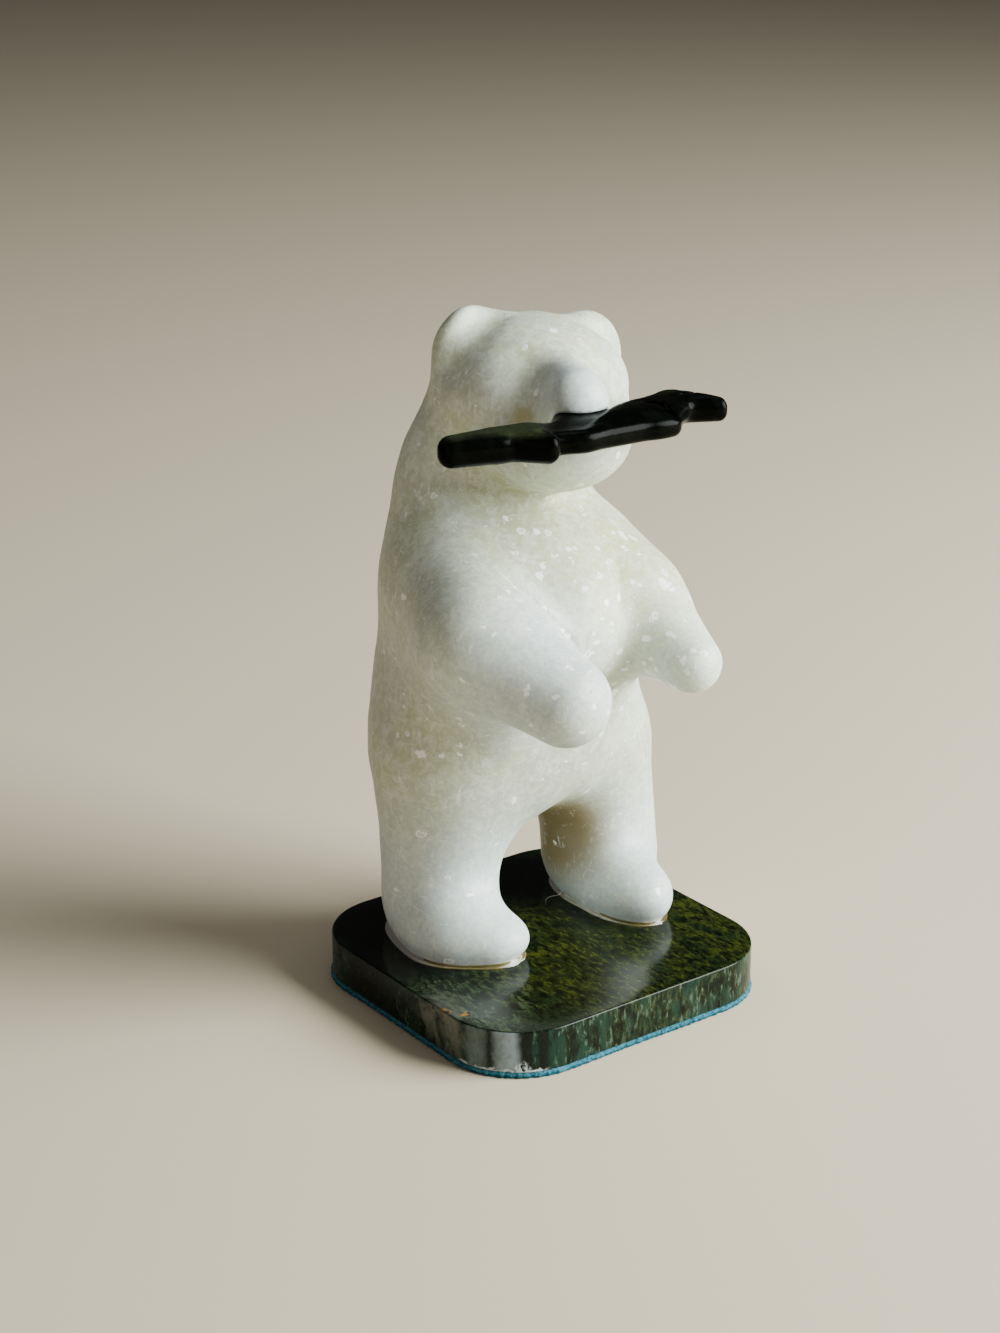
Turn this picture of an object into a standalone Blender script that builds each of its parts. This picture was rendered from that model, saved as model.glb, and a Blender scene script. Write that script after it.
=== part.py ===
"""A small carved bear that stands upright on a stone plinth with a fish across its mouth.

Four pieces: the marble bear, the jade fish, the serpentine plinth and the felt pad under it.
The frame is in metres with +Z up. The origin is the middle of the pad's underside, the plinth's
sides run along X and Y, the bear faces -Y, and its left side is at +X.

The bear and the fish are carved shapes, so each is roughed out from Blender's primitives and then
drawn onto a smooth surface: a function that gives the distance to the carving, worked out from a
short list of masses (the belly, a thigh, an ear) that run into each other with soft fillets.
"""

import bmesh
import bpy
import numpy as np
from mathutils import Matrix

MM = 0.001

# Plinth and pad
PLINTH_WIDTH = 78.5 * MM
PLINTH_DEPTH = 75.3 * MM
PLINTH_HEIGHT = 9.5 * MM
PLINTH_CORNER = 17.3 * MM
PLINTH_EDGE = 0.7 * MM
CORNER_STEPS = 10
PAD_HEIGHT = 1.1 * MM
PAD_INSET = 0.2 * MM
GAP = 0.3 * MM
STONE_TOP = PAD_HEIGHT + GAP + PLINTH_HEIGHT

# The bear's own frame: millimetres, z = 0 on the stone under its feet, placed here on the plinth
BEAR_PLACE = (4.5 * MM, 0.0, STONE_TOP)
SOLE_GAP_MM = 0.3
BEAR_GRID_MM = 1.7
BEAR_TRIANGLES = 6800

# A lump is a centre and three radii; a limb is two centres, each with its radius
BELLY = ((-1.5, 17.5, 53.5), (29.5, 27.5, 28.5))
CHEST = ((-0.5, 19.5, 78.5), (25.5, 23.0, 19.5))
BREAST = ((1.0, 0.5, 77.5), (17.5, 12.0, 15.5))
NECK = ((0.0, 26.0, 100.0), (22.5, 13.5, 23.0))
RIGHT_THIGH = ((-20.5, 13.5, 40.5), 15.0, (-20.0, 18.0, 8.0), 12.5)
RIGHT_FOOT = ((-23.0, 7.5, 4.0), (11.5, 13.0, 10.5))
RIGHT_TOE = ((-19.0, -2.5, 4.0), (7.5, 7.0, 5.0))
LEFT_THIGH = ((21.5, 14.0, 36.0), 12.5, (23.5, 14.0, 9.0), 13.5)
LEFT_FOOT = ((19.5, 1.0, 5.0), (9.0, 15.0, 8.5))
RIGHT_UPPER_ARM = ((-19.0, 14.5, 82.5), 11.5, (-25.5, -6.0, 76.0), 12.5)
RIGHT_FOREARM = ((-26.0, -6.5, 76.0), 12.5, (-18.5, -26.0, 67.0), 9.5)
LEFT_UPPER_ARM = ((18.5, 12.5, 79.0), 11.5, (15.0, -5.5, 75.0), 11.5)
LEFT_FOREARM = ((15.0, -5.5, 75.0), 11.5, (15.5, -26.0, 68.0), 6.5)
STERNUM = ((-3.5, -5.0, 74.0), (12.0, 13.0, 13.0))
RIGHT_FLANK = ((-18.5, 2.0, 66.0), (13.0, 13.0, 13.0))

# The head has a frame of its own, turned a little to the bear's right
HEAD_CENTRE = (2.5, 11.0, 118.0)
HEAD_TURN = -16.0
SKULL = ((0.0, 4.0, 4.0), (21.0, 20.0, 15.5))
JAW = ((1.0, -7.5, -4.0), (16.0, 17.0, 11.5))
MUZZLE = ((0.8, -7.0, 5.2), 8.6, (0.2, -15.5, 5.9), 8.0)
NOSE = ((0.0, -14.0, 4.5), 7.0, (-0.5, -22.5, 7.1), 6.7)
RIGHT_EAR = ((-11.2, 7.0, 11.0), (10.0, 6.8, 10.9))
LEFT_EAR = ((15.1, 11.0, 7.7), (8.5, 5.0, 9.8))
RIGHT_EAR_GROOVE = ((-8.0, 4.6, 22.6), (-16.6, 0.2, 18.0), (-21.8, 0.6, 12.0), (-26.6, 2.2, 6.0))
LEFT_EAR_GROOVE = ((6.0, 8.0, 23.8), (15.0, 3.4, 19.6), (23.6, 4.0, 8.5))
EAR_GROOVE_RADIUS = 3.8
EYE_HOLLOWS = (((-10.4, -15.8, 15.0), (-13.0, -19.0, 7.8)), ((11.4, -14.8, 14.8), (14.2, -18.0, 8.0)))
EYE_HOLLOW_RADIUS = 5.2
EYE_SOFTENING = 8.0
GROOVE_SOFTENING = 4.0

# How far each fillet reaches
BODY_FILLET = 24.0
NECK_FILLET = 22.0
BREAST_FILLET = 18.0
STERNUM_FILLET = 8.0
FLANK_FILLET = 16.0
HIP_FILLET = 22.0
CROTCH_FILLET = 1.5
ANKLE_FILLET = 10.0
TOE_FILLET = 7.0
SHOULDER_FILLET = 17.0
WRIST_FILLET = 8.0
THROAT_FILLET = 12.0
JAW_FILLET = 9.0
MUZZLE_FILLET = 5.0
NOSE_FILLET = 4.0
EAR_FILLET = 5.0

# The fish's own frame: millimetres, u runs from its nose to its tail and v towards the bear
FISH_PLACE = (-4.5 * MM, -19.2 * MM, 132.4 * MM)
FISH_TURN = -3.5
FISH_BELLY = -3.1
FISH_THROAT = -3.5
FISH_HEAD_TOP = 3.1
FISH_BODY_TOP = 1.9
FISH_BACK_TOP = 3.1
FISH_LOBE_TOP = 1.3
FISH_ROUNDING = 0.85
FISH_GRID_MM = 0.7
FISH_TRIANGLES = 1400
SLOT_CLEARANCE_MM = 0.45
FISH_FILLET = 1.2
TAIL_FILLET = 2.6

# Points of the fish's outline: place along, place across, and radius
SNOUT = (-30.5, 1.9, 2.9)
GILL = (-21.0, 1.0, 4.3)
MIDDLE = (-2.7, -1.1, 5.3)
BACK_HUMP = (3.0, 6.5, 5.0)
TAIL_ROOT = (16.0, 0.2, 6.3)
NEAR_LOBE = (18.6, -4.4, 1.9)
FAR_LOBE = (26.4, 5.3, 4.3)
FAR_TIP = (34.0, -0.9, 1.5)
FIN_ROOT = (-17.9, -2.3, 1.8)
FIN_TIP = (-13.0, -6.9, 2.0)

NEWTON_STEPS = 10
NEWTON_STRIDE_MM = 0.8
NORMAL_STEP_MM = 0.05


def clear_scene():
    """Removes every object, so that the script can be run again."""
    for old in list(bpy.data.objects):
        bpy.data.objects.remove(old, do_unlink=True)


def make_collection(name):
    """A collection under the scene's own."""
    collection = bpy.data.collections.new(name)
    bpy.context.scene.collection.children.link(collection)
    return collection


def make_material(name, colour, roughness):
    """A Principled material of one colour."""
    material = bpy.data.materials.new(name)
    material.use_nodes = True
    shader = material.node_tree.nodes["Principled BSDF"]
    shader.inputs["Base Color"].default_value = (*colour, 1.0)
    shader.inputs["Roughness"].default_value = roughness
    shader.inputs["Metallic"].default_value = 0.0
    return material


def white_marble():
    return make_material("white_marble", (0.83, 0.84, 0.82), 0.35)


def black_jade():
    return make_material("black_jade", (0.012, 0.017, 0.013), 0.14)


def green_serpentine():
    return make_material("green_serpentine", (0.045, 0.075, 0.045), 0.12)


def turquoise_felt():
    return make_material("turquoise_felt", (0.02, 0.32, 0.38), 0.95)


# --- distances in millimetres, for whole arrays of points ---


def lump(points, centre, radii):
    """Distance to an ellipsoid: the scaled radius less one, over that measure's own steepness."""
    q = points - np.array(centre)
    radii = np.array(radii)
    scaled = np.linalg.norm(q / radii, axis=-1)
    steepness = np.linalg.norm(q / radii**2, axis=-1)
    return scaled * (scaled - 1.0) / np.maximum(steepness, 1e-9)


def limb(points, start, start_radius, end, end_radius):
    """Distance to the balls strung between two ends, their radius running evenly along the way."""
    start = np.array(start)
    axis = np.array(end) - start
    length = np.linalg.norm(axis)
    q = points - start
    along = q @ (axis / length)
    aside = np.sqrt(np.maximum((q * q).sum(-1) - along**2, 0.0))
    slope = (start_radius - end_radius) / length
    share = np.clip((along - slope * aside / np.sqrt(1.0 - slope**2)) / length, 0.0, 1.0)
    radius = start_radius + (end_radius - start_radius) * share
    return np.hypot(aside, along - share * length) - radius


def blend(a, b, reach):
    """The nearer of two distances, with a cubic fillet where they differ by less than the reach."""
    overlap = np.maximum(reach - np.abs(a - b), 0.0) / reach
    return np.minimum(a, b) - overlap**3 * reach / 6.0


def carve(a, hollow, reach):
    """The first shape with the hollow taken out of it, and the rim softened."""
    return -blend(-a, hollow, reach)


def tube(points, path, radius):
    """Distance to one radius carried along a path of straight runs, with soft corners."""
    runs = [limb(points, start, radius, end, radius) for start, end in zip(path, path[1:])]
    found = runs[0]
    for run in runs[1:]:
        found = blend(found, run, radius)
    return found


def rise(values, low, high):
    """Nothing below low, one above high, and a smooth S between."""
    share = np.clip((values - low) / (high - low), 0.0, 1.0)
    return share * share * (3.0 - 2.0 * share)


def turn_matrix(degrees):
    """A turn about Z as three rows."""
    return np.array(Matrix.Rotation(np.radians(degrees), 3, "Z"))


def head_distance(points):
    """The head: skull, jaw, muzzle and ears, with a groove worked in front of each ear."""
    q = (points - np.array(HEAD_CENTRE)) @ turn_matrix(HEAD_TURN)
    head = blend(lump(q, *SKULL), lump(q, *JAW), JAW_FILLET)
    head = blend(head, limb(q, *MUZZLE), MUZZLE_FILLET)
    head = blend(head, limb(q, *NOSE), NOSE_FILLET)
    for ear in (RIGHT_EAR, LEFT_EAR):
        head = blend(head, lump(q, *ear), EAR_FILLET)
    for path in (RIGHT_EAR_GROOVE, LEFT_EAR_GROOVE):
        head = carve(head, tube(q, path, EAR_GROOVE_RADIUS), GROOVE_SOFTENING)
    for path in EYE_HOLLOWS:
        head = carve(head, tube(q, path, EYE_HOLLOW_RADIUS), EYE_SOFTENING)
    return head


def legs_distance(points):
    """Both legs with their feet, kept apart from each other at the crotch."""
    foot = blend(lump(points, *RIGHT_FOOT), lump(points, *RIGHT_TOE), TOE_FILLET)
    right = blend(limb(points, *RIGHT_THIGH), foot, ANKLE_FILLET)
    left = blend(limb(points, *LEFT_THIGH), lump(points, *LEFT_FOOT), ANKLE_FILLET)
    return blend(right, left, CROTCH_FILLET)


def bear_distance(points):
    """The whole bear, from the trunk outwards."""
    bear = blend(lump(points, *BELLY), lump(points, *CHEST), BODY_FILLET)
    bear = blend(bear, lump(points, *NECK), NECK_FILLET)
    bear = blend(bear, lump(points, *BREAST), BREAST_FILLET)
    bear = blend(bear, legs_distance(points), HIP_FILLET)
    bear = blend(bear, head_distance(points), THROAT_FILLET)
    for upper_arm in (RIGHT_UPPER_ARM, LEFT_UPPER_ARM):
        bear = blend(bear, limb(points, *upper_arm), SHOULDER_FILLET)
    bear = blend(bear, lump(points, *RIGHT_FLANK), FLANK_FILLET)
    for forearm in (RIGHT_FOREARM, LEFT_FOREARM):
        bear = blend(bear, limb(points, *forearm), WRIST_FILLET)
    return blend(bear, lump(points, *STERNUM), STERNUM_FILLET)


def flat_limb(points, start, end):
    """The same strung balls as limb(), in the plane of the fish's flat side."""
    flat = points * np.array((1.0, 1.0, 0.0))
    return limb(flat, (*start[:2], 0.0), start[2], (*end[:2], 0.0), end[2])


def fish_top(points):
    """The height of the fish's upper side: full at the head, ground thinner where the mouth holds
    it, and stepping up again over the back to slope down across the tail."""
    along, across = points[..., 0], points[..., 1]
    eased = -10.3 + 5.0 * rise(across, -4.0, 2.0)
    head = (FISH_HEAD_TOP - FISH_BODY_TOP) * (1.0 - rise(along + 0.15 * across, -13.3, eased))
    back = rise(across, -5.0, 5.0)
    lobes = rise(along, 12.0, 28.0) * (1.0 - back) * (FISH_LOBE_TOP - FISH_BODY_TOP)
    step = rise((along - 4.1 - 1.54 * across) / 1.84, -0.8, 0.8) * rise(across, -6.5, 2.5)
    held = 0.6 * rise(along, -9.0, -1.0) * rise(across, -4.0, 0.0) * (1.0 - step)
    return FISH_BODY_TOP + head + held + step * (FISH_BACK_TOP - FISH_BODY_TOP) + lobes


def fish_belly(points):
    """The height of the fish's lower side, a little deeper under the head."""
    return FISH_THROAT + (FISH_BELLY - FISH_THROAT) * rise(points[..., 0], -14.0, -8.0)


def fish_distance(points):
    """A slab with rounded edges whose outline is the fish seen from above."""
    outline = flat_limb(points, SNOUT, GILL)
    outline = blend(outline, flat_limb(points, GILL, MIDDLE), FISH_FILLET)
    outline = blend(outline, flat_limb(points, MIDDLE, TAIL_ROOT), FISH_FILLET)
    outline = blend(outline, flat_limb(points, MIDDLE, BACK_HUMP), TAIL_FILLET)
    outline = blend(outline, flat_limb(points, TAIL_ROOT, NEAR_LOBE), TAIL_FILLET)
    for start, end in ((TAIL_ROOT, FAR_LOBE), (FAR_LOBE, FAR_TIP)):
        outline = blend(outline, flat_limb(points, start, end), TAIL_FILLET)
    outline = blend(outline, flat_limb(points, FIN_ROOT, FIN_TIP), FISH_FILLET)
    top = fish_top(points)
    half = (top - fish_belly(points)) / 2.0
    edge = half * FISH_ROUNDING
    out = outline + edge
    up = np.abs(points[..., 2] - top + half) - half + edge
    outside = np.hypot(np.maximum(out, 0.0), np.maximum(up, 0.0))
    return outside + np.minimum(np.maximum(out, up), 0.0) - edge


def slot_distance(points):
    """The fish with a skin of clearance round it."""
    return fish_distance(points) - SLOT_CLEARANCE_MM


# --- meshes ---


def add_ball(mesh, centre, radii):
    """A sphere primitive stretched to the radii."""
    place = Matrix.Translation(centre) @ Matrix.Diagonal((*radii, 1.0))
    return bmesh.ops.create_uvsphere(mesh, u_segments=24, v_segments=14, radius=1.0, matrix=place)["verts"]


def add_limb(mesh, start, start_radius, end, end_radius):
    """Two spheres and the tight skin round them, which is a limb's round-ended cone."""
    ends = add_ball(mesh, start, (start_radius,) * 3) + add_ball(mesh, end, (end_radius,) * 3)
    inner = bmesh.ops.convex_hull(mesh, input=ends, use_existing_faces=False)
    spare = [g for g in inner["geom_interior"] + inner["geom_unused"] if isinstance(g, bmesh.types.BMVert)]
    bmesh.ops.delete(mesh, geom=spare, context="VERTS")


def object_from(mesh, name, collection):
    """A mesh object from a bmesh."""
    data = bpy.data.meshes.new(name)
    mesh.to_mesh(data)
    mesh.free()
    made = bpy.data.objects.new(name, data)
    collection.objects.link(made)
    return made


def bake(made):
    """Replaces an object's mesh by what its modifiers make of it."""
    bpy.context.view_layer.update()
    depsgraph = bpy.context.evaluated_depsgraph_get()
    baked = bpy.data.meshes.new_from_object(made.evaluated_get(depsgraph))
    made.modifiers.clear()
    made.data = baked


def remesh(made, grid):
    """One closed skin of even faces, at the grid's size."""
    step = made.modifiers.new("skin", "REMESH")
    step.mode = "VOXEL"
    step.voxel_size = grid
    bake(made)


def gradient(distance, points):
    """The direction in which a distance grows fastest, from small steps along X, Y and Z."""
    steps = np.eye(3) * NORMAL_STEP_MM
    rises = [distance(points + step) - distance(points - step) for step in steps]
    return np.stack(rises, -1) / (2.0 * NORMAL_STEP_MM)


def relax(made, times):
    """Evens out the spacing of the vertices."""
    step = made.modifiers.new("relax", "SMOOTH")
    step.factor = 0.5
    step.iterations = times
    bake(made)


def thin(made, triangles):
    """Leaves about so many triangles, the most of them where the surface bends the most."""
    made.modifiers.new("triangles", "TRIANGULATE")
    bake(made)
    step = made.modifiers.new("thin", "DECIMATE")
    step.ratio = triangles / len(made.data.polygons)
    bake(made)


def draw_onto(made, distance):
    """Moves every vertex along the gradient until its distance is nothing, by Newton's steps."""
    points = np.empty(len(made.data.vertices) * 3, np.float32)
    made.data.vertices.foreach_get("co", points)
    points = points.reshape(-1, 3).astype(float)
    for _ in range(NEWTON_STEPS):
        slope = gradient(distance, points)
        steepness = np.maximum((slope * slope).sum(-1), 0.2)
        stride = np.clip(distance(points) / steepness, -NEWTON_STRIDE_MM, NEWTON_STRIDE_MM)
        points -= slope * stride[:, None]
    made.data.vertices.foreach_set("co", points.astype(np.float32).ravel())
    made.data.update()


def carve_skin(made, distance, grid, triangles):
    """Skins the masses and draws the skin onto the carving, three times over, and then thins it."""
    for _ in range(3):
        remesh(made, grid)
        draw_onto(made, distance)
        relax(made, 4)
        draw_onto(made, distance)
    thin(made, triangles)
    draw_onto(made, distance)


def scale_to_metres(made, place, turn=0.0):
    """Turns millimetres into metres in the mesh, and puts the object in its place."""
    made.data.transform(Matrix.Scale(MM, 4))
    made.location = place
    made.rotation_euler = (0.0, 0.0, np.radians(turn))


def smooth(made, material):
    """Smooth shading that keeps real corners sharp, and the object's own material."""
    made.data.materials.clear()
    made.data.materials.append(material)
    made.data.shade_smooth()
    made.data.set_sharp_from_angle(angle=np.radians(50.0))


def cut(made, cutter):
    """Takes the cutter's volume out of the object."""
    step = made.modifiers.new(cutter.name, "BOOLEAN")
    step.operation = "DIFFERENCE"
    step.solver = "EXACT"
    step.object = cutter


def hide_cutter(cutter):
    cutter.hide_render = True
    cutter.display_type = "WIRE"


def rounded_rectangle(width, depth, radius):
    """Points round a rectangle whose corners are quarter circles."""
    quarter = np.linspace(0.0, np.pi / 2.0, CORNER_STEPS + 1)
    corners = []
    for turn, (sx, sy) in enumerate(((1, 1), (-1, 1), (-1, -1), (1, -1))):
        angle = quarter + turn * np.pi / 2.0
        centre = np.array((sx * (width / 2.0 - radius), sy * (depth / 2.0 - radius)))
        corners.append(centre + radius * np.stack((np.cos(angle), np.sin(angle)), -1))
    return np.concatenate(corners)


def slab(name, outline, height, collection):
    """A flat outline as a filled 2D curve with thickness, turned into a closed mesh."""
    curve = bpy.data.curves.new(name, "CURVE")
    curve.dimensions = "2D"
    curve.fill_mode = "BOTH"
    curve.extrude = height / 2.0
    spline = curve.splines.new("POLY")
    spline.points.add(len(outline) - 1)
    for point, (x, y) in zip(spline.points, outline):
        point.co = (x, y, 0.0, 1.0)
    spline.use_cyclic_u = True
    drawn = bpy.data.objects.new(name + "_outline", curve)
    collection.objects.link(drawn)
    bpy.context.view_layer.update()
    depsgraph = bpy.context.evaluated_depsgraph_get()
    data = bpy.data.meshes.new_from_object(drawn.evaluated_get(depsgraph))
    bpy.data.objects.remove(drawn, do_unlink=True)
    mesh = bmesh.new()
    mesh.from_mesh(data)
    bmesh.ops.remove_doubles(mesh, verts=mesh.verts, dist=0.01 * MM)
    bmesh.ops.recalc_face_normals(mesh, faces=mesh.faces)
    return object_from(mesh, name, collection)


# --- the pieces ---


def make_pad(collection):
    """The felt glued under the plinth."""
    trim = 2.0 * PAD_INSET
    outline = rounded_rectangle(PLINTH_WIDTH - trim, PLINTH_DEPTH - trim, PLINTH_CORNER - PAD_INSET)
    pad = slab("felt_pad", outline, PAD_HEIGHT, collection)
    pad.location = (0.0, 0.0, PAD_HEIGHT / 2.0)
    smooth(pad, turquoise_felt())
    return pad


def make_plinth(collection):
    """The polished stone slab, with its edges just broken."""
    outline = rounded_rectangle(PLINTH_WIDTH, PLINTH_DEPTH, PLINTH_CORNER)
    plinth = slab("plinth", outline, PLINTH_HEIGHT, collection)
    plinth.location = (0.0, 0.0, STONE_TOP - PLINTH_HEIGHT / 2.0)
    edge = plinth.modifiers.new("edge", "BEVEL")
    edge.width = PLINTH_EDGE
    edge.segments = 2
    edge.limit_method = "ANGLE"
    edge.angle_limit = np.radians(60.0)
    smooth(plinth, green_serpentine())
    return plinth


def rough_fish(name, collection):
    """Discs of the fish's outline points, skinned in pairs, as thick as the fish."""
    mesh = bmesh.new()
    runs = (
        (SNOUT, GILL),
        (GILL, MIDDLE),
        (MIDDLE, TAIL_ROOT),
        (MIDDLE, BACK_HUMP),
        (TAIL_ROOT, NEAR_LOBE),
        (TAIL_ROOT, FAR_LOBE),
        (FAR_LOBE, FAR_TIP),
        (FIN_ROOT, FIN_TIP),
    )
    thickness = FISH_HEAD_TOP - FISH_THROAT
    for run in runs:
        ends = []
        for along, across, radius in run:
            place = Matrix.Translation((along, across, 0.0))
            disc = bmesh.ops.create_cone(
                mesh,
                cap_ends=True,
                segments=20,
                radius1=radius,
                radius2=radius,
                depth=thickness,
                matrix=place,
            )
            ends += disc["verts"]
        bmesh.ops.convex_hull(mesh, input=ends, use_existing_faces=False)
    return object_from(mesh, name, collection)


def make_fish(collection):
    """The flat fish, lying on its side across the mouth."""
    fish = rough_fish("fish", collection)
    carve_skin(fish, fish_distance, FISH_GRID_MM, FISH_TRIANGLES)
    scale_to_metres(fish, FISH_PLACE, FISH_TURN)
    smooth(fish, black_jade())
    return fish


def make_slot_cutter(collection):
    """The fish with its clearance, which cuts the slot in the bear's mouth."""
    cutter = rough_fish("mouth_slot", collection)
    carve_skin(cutter, slot_distance, FISH_GRID_MM, FISH_TRIANGLES)
    scale_to_metres(cutter, FISH_PLACE, FISH_TURN)
    hide_cutter(cutter)
    return cutter


def make_sole_cutter(collection):
    """A block whose top is where the soles are ground flat."""
    mesh = bmesh.new()
    bmesh.ops.create_cube(mesh, size=1.0)
    cutter = object_from(mesh, "sole_plane", collection)
    cutter.data.transform(Matrix.Diagonal((0.2, 0.2, 0.05, 1.0)))
    cutter.location = (0.0, 0.0, STONE_TOP + SOLE_GAP_MM * MM - 0.025)
    hide_cutter(cutter)
    return cutter


def rough_bear(collection):
    """Every mass of the bear as a primitive, all in one mesh."""
    mesh = bmesh.new()
    for mass in (BELLY, CHEST, BREAST, NECK, RIGHT_FOOT, RIGHT_TOE, LEFT_FOOT):
        add_ball(mesh, *mass)
    for mass in (RIGHT_THIGH, LEFT_THIGH, RIGHT_UPPER_ARM, RIGHT_FOREARM, LEFT_UPPER_ARM, LEFT_FOREARM):
        add_limb(mesh, *mass)
    head = bmesh.new()
    for mass in (SKULL, JAW, RIGHT_EAR, LEFT_EAR):
        add_ball(head, *mass)
    add_limb(head, *MUZZLE)
    add_limb(head, *NOSE)
    turn = Matrix.Rotation(np.radians(HEAD_TURN), 4, "Z")
    head.transform(Matrix.Translation(HEAD_CENTRE) @ turn)
    data = bpy.data.meshes.new("head")
    head.to_mesh(data)
    head.free()
    mesh.from_mesh(data)
    bpy.data.meshes.remove(data)
    return object_from(mesh, "bear", collection)


def make_bear(collection, cutters):
    """The bear: skinned, drawn onto its carving, slotted for the fish and ground flat under the feet."""
    bear = rough_bear(collection)
    carve_skin(bear, bear_distance, BEAR_GRID_MM, BEAR_TRIANGLES)
    scale_to_metres(bear, BEAR_PLACE)
    smooth(bear, white_marble())
    for cutter in cutters:
        cut(bear, cutter)
    return bear


def build():
    clear_scene()
    pieces = make_collection("fishing_bear_on_plinth")
    cutters = make_collection("cutters")
    make_pad(pieces)
    make_plinth(pieces)
    make_fish(pieces)
    make_bear(pieces, [make_slot_cutter(cutters), make_sole_cutter(cutters)])


build()
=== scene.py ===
# %% [markdown]
# # A marble bear with a fish in its mouth
#
# The real thing is four pieces glued together: a bear carved from one block of coarse white
# marble, a thin dark jade fish held in its jaws, a polished serpentine plinth, and a felt pad.
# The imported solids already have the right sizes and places. This script dresses them: it makes
# each piece again with a finer surface on the same form, and gives each its stone or cloth.

import bpy
import numpy as np
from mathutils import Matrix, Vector


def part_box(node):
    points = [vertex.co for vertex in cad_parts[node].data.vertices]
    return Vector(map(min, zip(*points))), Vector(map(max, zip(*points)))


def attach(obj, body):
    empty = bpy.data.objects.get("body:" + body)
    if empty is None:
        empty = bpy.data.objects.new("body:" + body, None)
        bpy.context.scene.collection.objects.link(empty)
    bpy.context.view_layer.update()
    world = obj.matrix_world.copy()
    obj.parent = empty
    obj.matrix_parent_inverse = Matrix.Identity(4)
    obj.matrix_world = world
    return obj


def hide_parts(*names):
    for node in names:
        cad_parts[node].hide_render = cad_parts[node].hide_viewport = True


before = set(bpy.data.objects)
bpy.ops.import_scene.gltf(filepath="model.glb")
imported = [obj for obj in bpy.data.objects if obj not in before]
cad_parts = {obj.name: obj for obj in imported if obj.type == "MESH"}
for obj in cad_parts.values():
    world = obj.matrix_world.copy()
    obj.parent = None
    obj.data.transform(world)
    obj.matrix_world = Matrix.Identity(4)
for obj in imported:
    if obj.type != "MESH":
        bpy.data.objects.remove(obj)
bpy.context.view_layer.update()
plinth_low, plinth_high = (np.array(corner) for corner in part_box("plinth"))
MM = 0.001

# %% [markdown]
# ## Stone as a distance
#
# A carver rounds big masses and lets them run into each other. Polygons are a poor way to write
# that down, and a distance function is a good one: it says how far any point is from the stone,
# and it is negative inside. Lumps and limbs have short formulas, and a soft minimum of two of
# them is a fillet. The numbers are the same masses that the solids were roughed out from, in
# millimetres, in a frame that stands on the plinth.


# %% Lumps, limbs and soft joints
def lump(p, centre, radii):
    """An ellipsoid: with k the scaled radius and s how steeply k grows, distance = k (k - 1) / s."""
    q, radii = p - np.array(centre), np.array(radii)
    k = np.linalg.norm(q / radii, axis=-1)
    steep = np.linalg.norm(q / radii**2, axis=-1)
    return k * (k - 1.0) / np.maximum(steep, 1e-9)


def limb(p, start, start_radius, end, end_radius):
    """Balls strung on a line: the distance to the line at the best share of its length, less the
    radius there, the share being shifted by the taper so that the skin is a true cone."""
    start = np.array(start)
    axis = np.array(end) - start
    length = np.linalg.norm(axis)
    q = p - start
    along = q @ (axis / length)
    aside = np.sqrt(np.maximum((q * q).sum(-1) - along**2, 0.0))
    taper = (start_radius - end_radius) / length
    share = np.clip((along - taper * aside / np.sqrt(1.0 - taper**2)) / length, 0.0, 1.0)
    return np.hypot(aside, along - share * length) - start_radius - (end_radius - start_radius) * share


def join(a, b, reach):
    """Soft minimum: the lower distance, less a sixth of the reach times the cube of the overlap."""
    overlap = np.maximum(reach - np.abs(a - b), 0.0) / reach
    return np.minimum(a, b) - overlap**3 * reach / 6.0


def carve(a, hollow, reach):
    """Soft difference: what is left of a when the hollow is cut out of it."""
    return -join(-a, hollow, reach)


def turned(degrees):
    """Rows of a turn about Z."""
    c, s = np.cos(np.radians(degrees)), np.sin(np.radians(degrees))
    return np.array(((c, -s, 0.0), (s, c, 0.0), (0.0, 0.0, 1.0)))


between = np.zeros((1, 3))
trial = join(lump(between, (3, 0, 0), (2, 2, 2)), limb(between, (-3, 0, 0), 2, (-9, 0, 0), 1), 2)
print("half way between two balls 2 mm apart the soft distance is", trial.round(3), "and not 1")

# %% [markdown]
# ## From a distance to a mesh
#
# Surface nets turn the distance into even squares. Space is cut into small cubes, each cube that
# the surface passes through gets one point, and each cube edge that pierces the surface becomes
# the square between the four cubes round it. Marching cubes would do as well, but it leaves
# slivers that show in a polish. Newton's steps then slide every point exactly onto the surface.


# %% Surface nets and Newton's steps
def slope_of(distance, points, reach=0.03):
    """The way the distance grows, as differences over a small reach along each axis."""
    shifts = np.eye(3) * reach
    return np.stack([distance(points + d) - distance(points - d) for d in shifts], -1) / (2.0 * reach)


def settle(distance, points, steps=2):
    """Newton: each point moves along the slope by distance over slope squared, a few times."""
    for _ in range(steps):
        slope = slope_of(distance, points)
        stride = distance(points) / np.maximum((slope * slope).sum(-1), 0.2)
        points = points - slope * np.clip(stride, -0.6, 0.6)[:, None]
    return points


def sampled(distance, grid, step, block=4):
    """The distance at every grid point near the surface. Elsewhere it is that of the block's own
    middle point, which has the right sign and is all that the net asks for."""
    middle = grid[block // 2 :: block, block // 2 :: block, block // 2 :: block]
    coarse = distance(middle.reshape(-1, 3)).reshape(middle.shape[:3])
    near = np.abs(coarse) < step * block * 1.2
    for axis in range(3):
        coarse, near = np.repeat(coarse, block, axis), np.repeat(near, block, axis)
    coarse[near] = distance(grid[near])
    return coarse


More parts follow.
